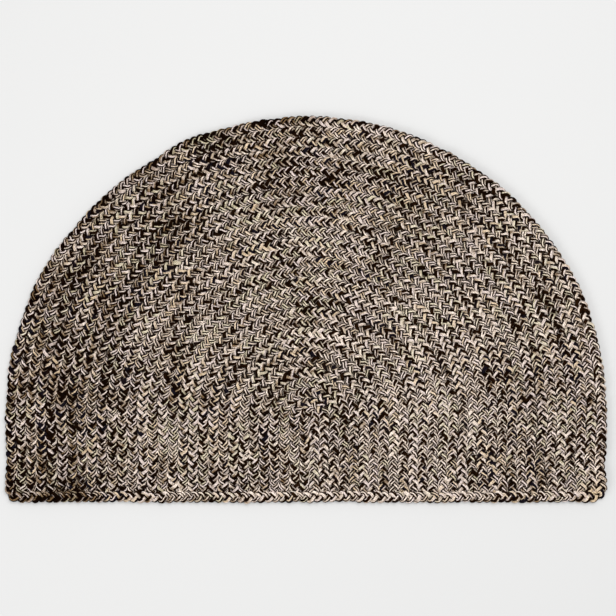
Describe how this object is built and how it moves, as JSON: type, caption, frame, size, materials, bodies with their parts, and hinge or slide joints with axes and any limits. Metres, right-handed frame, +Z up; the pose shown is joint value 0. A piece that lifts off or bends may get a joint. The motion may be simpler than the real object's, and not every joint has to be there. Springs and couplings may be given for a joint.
{
  "type": "half-round braided doormat",
  "caption": "Flat half-round doormat of braided jute rope: nested U-shaped rows sewn side by side, with an edge braid round the whole outline.",
  "frame": {"origin": "on the underside, under the middle of the mat's bounding box", "axes": "+X to the right along the straight edge, +Y from the straight edge to the top of the arc, +Z up"},
  "size_m": [0.7, 0.45, 0.009],
  "materials": {
    "field_jute": "matte natural jute plied with black yarn, braided",
    "edge_jute": "matte natural jute plied with black yarn, braided, a little darker"
  },
  "bodies": {
    "root": {"braided_field": "field_jute", "edge_braid": "edge_jute"}
  },
  "joints": []
}
